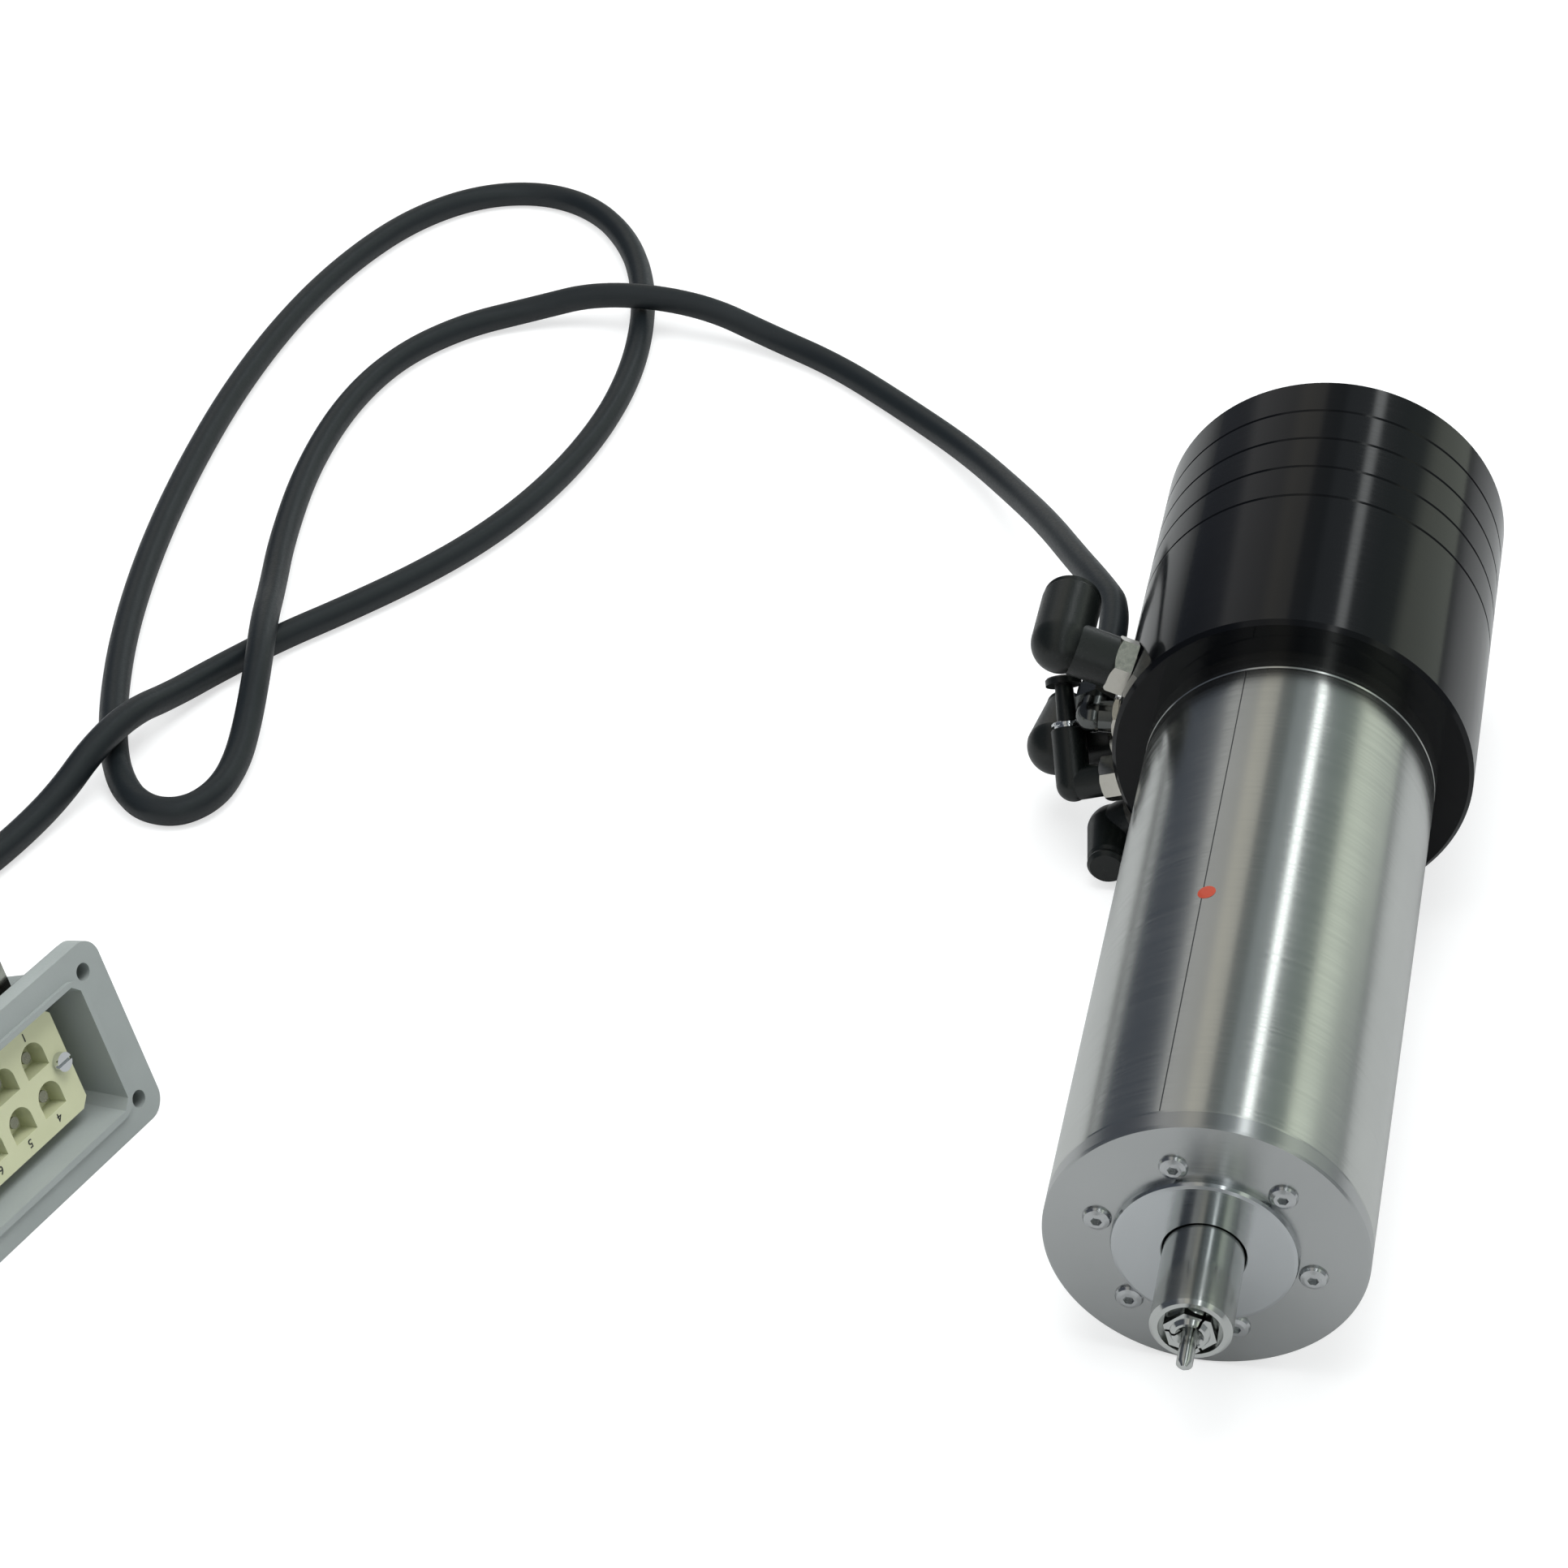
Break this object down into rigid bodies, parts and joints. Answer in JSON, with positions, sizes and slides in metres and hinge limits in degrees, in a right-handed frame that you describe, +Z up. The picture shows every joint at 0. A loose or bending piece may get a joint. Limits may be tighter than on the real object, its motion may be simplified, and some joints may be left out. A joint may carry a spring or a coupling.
{
  "type": "water-cooled milling spindle",
  "caption": "Water-cooled electric milling spindle with tool-change cylinder, side hose fittings and power cable with connector, lying on a table.",
  "frame": {"origin": "on the spindle's axis, half way along its bright clamping body between the front face and the black head", "axes": "-Y towards the nose and +Y towards the head, with the axis 3 degrees up towards +Y as it lies; +Z up; the hose fittings are on the -X side"},
  "size_m": [0.4457, 0.5961, 0.1082],
  "materials": {
    "turned_stainless": "fine turned",
    "satin_turned_steel": "satin, face turned",
    "polished_steel": "polished",
    "steel_screw": "bright zinc",
    "ground_steel": "ground",
    "bearing_steel": "ground",
    "cage_brass": "turned",
    "housing_steel": "turned",
    "black_anodised": "gloss black anodised",
    "cast_aluminium": "turned",
    "seal_rubber": "matte",
    "lamination_steel": "laminated",
    "winding_resin": "varnished copper",
    "spring_steel": "blued",
    "black_plastic": "moulded, matte",
    "nickel_brass": "nickel plated",
    "chrome_ring": "polished",
    "cable_sheath": "matte",
    "grey_plastic": "moulded, fine grain",
    "cream_plastic": "moulded",
    "contact_gold": "plated"
  },
  "bodies": {
    "stator": {"jacket": "turned_stainless", "front_cap": "satin_turned_steel", "nose_cover": "polished_steel", "cap_screws": "steel_screw", "front_bearing_housing": "housing_steel", "cooling_sleeve": "cast_aluminium", "sleeve_seals": "seal_rubber", "front_bearing_outer_rings": "bearing_steel", "rear_bearing_outer_rings": "bearing_steel", "bearing_retainers": "ground_steel", "stator_core": "lamination_steel", "stator_winding": "winding_resin", "rear_bearing_holder": "turned_stainless", "cylinder_housing": "black_anodised", "stage_ring_1": "black_anodised", "stage_ring_2": "black_anodised", "stage_ring_3": "black_anodised", "rear_cover": "black_anodised", "tie_screws": "steel_screw", "speed_sensor": "black_plastic", "upper_coolant_nut": "nickel_brass", "upper_coolant_elbow": "black_plastic", "lower_coolant_nut": "nickel_brass", "lower_coolant_elbow": "black_plastic", "drain_nut": "nickel_brass", "drain_elbow": "black_plastic", "air_fitting_base": "nickel_brass", "cable_gland_base": "nickel_brass", "cable_gland": "polished_steel", "strain_relief": "black_plastic", "power_cable": "cable_sheath", "connector_shell": "grey_plastic", "connector_insert": "cream_plastic", "connector_contacts": "contact_gold", "insert_screws": "steel_screw", "flange_gasket": "seal_rubber", "connector_gland": "nickel_brass"},
    "rotor": {"shaft": "ground_steel", "rotor_core": "lamination_steel", "front_bearing_inner_rings": "bearing_steel", "rear_bearing_inner_rings": "bearing_steel", "front_shaft_nut": "ground_steel", "rear_shaft_nut": "ground_steel", "encoder_wheel": "ground_steel"},
    "front_cages": {"front_bearing_cages": "cage_brass"},
    "rear_cage": {"rear_bearing_cages": "cage_brass"},
    "puller": {"drawbar": "ground_steel", "collet": "polished_steel"},
    "tool": {"tool_shank": "ground_steel"},
    "springs_front": {"front_disc_springs": "spring_steel"},
    "springs_rear": {"rear_disc_springs": "spring_steel"},
    "pistons": {"piston_1": "cast_aluminium", "piston_2": "cast_aluminium", "piston_3": "cast_aluminium", "push_rod": "ground_steel", "piston_seals": "seal_rubber"},
    "air_elbow": {"air_elbow": "black_plastic"},
    "release_collar": {"release_collar": "chrome_ring"},
    "plug": {"blanking_plug": "black_plastic"}
  },
  "joints": [
    {"name": "shaft_spin", "type": "hinge", "parent": "stator", "child": "rotor", "pos_m": [0, 0, 0], "axis": [0, 0.9986, 0.0532], "continuous": true},
    {"name": "front_cage_spin", "type": "hinge", "parent": "stator", "child": "front_cages", "pos_m": [0, 0, 0], "axis": [0, 0.9986, 0.0532], "continuous": true},
    {"name": "rear_cage_spin", "type": "hinge", "parent": "stator", "child": "rear_cage", "pos_m": [0, 0, 0], "axis": [0, 0.9986, 0.0532], "continuous": true},
    {"name": "piston_stroke", "type": "slide", "parent": "stator", "child": "pistons", "axis": [0, -0.9986, -0.0532], "range_m": [0, 0.005], "stiffness_N_per_m": 2000, "springref_m": -0.005},
    {"name": "drawbar_stroke", "type": "slide", "parent": "rotor", "child": "puller", "axis": [0, -0.9986, -0.0532], "range_m": [0, 0.004]},
    {"name": "front_springs_slide", "type": "slide", "parent": "rotor", "child": "springs_front", "axis": [0, -0.9986, -0.0532], "range_m": [0, 0.00134]},
    {"name": "rear_springs_slide", "type": "slide", "parent": "rotor", "child": "springs_rear", "axis": [0, -0.9986, -0.0532], "range_m": [0, 0.00267]},
    {"name": "shank_pull", "type": "slide", "parent": "puller", "child": "tool", "axis": [0, -0.9986, -0.0532], "range_m": [0, 0.04]},
    {"name": "air_elbow_swivel", "type": "hinge", "parent": "stator", "child": "air_elbow", "pos_m": [-0.04698, 0.10297, -0.01164], "axis": [-0.9397, 0.0182, -0.3415], "range_deg": [-6, 0]},
    {"name": "collar_press", "type": "slide", "parent": "air_elbow", "child": "release_collar", "axis": [0.2333, -0.6962, -0.6789], "range_m": [0, 0.0007], "stiffness_N_per_m": 300, "springref_m": -0.0007},
    {"name": "plug_pull", "type": "slide", "parent": "air_elbow", "child": "plug", "axis": [-0.2333, 0.6962, 0.6789], "range_m": [0, 0.0115]}
  ],
  "couplings": [
    {"joint": "front_cage_spin", "follows": "shaft_spin", "ratio": 0.42},
    {"joint": "rear_cage_spin", "follows": "shaft_spin", "ratio": 0.42},
    {"joint": "drawbar_stroke", "follows": "piston_stroke", "ratio": 0.8},
    {"joint": "front_springs_slide", "follows": "piston_stroke", "ratio": 0.26667},
    {"joint": "rear_springs_slide", "follows": "piston_stroke", "ratio": 0.53333}
  ]
}
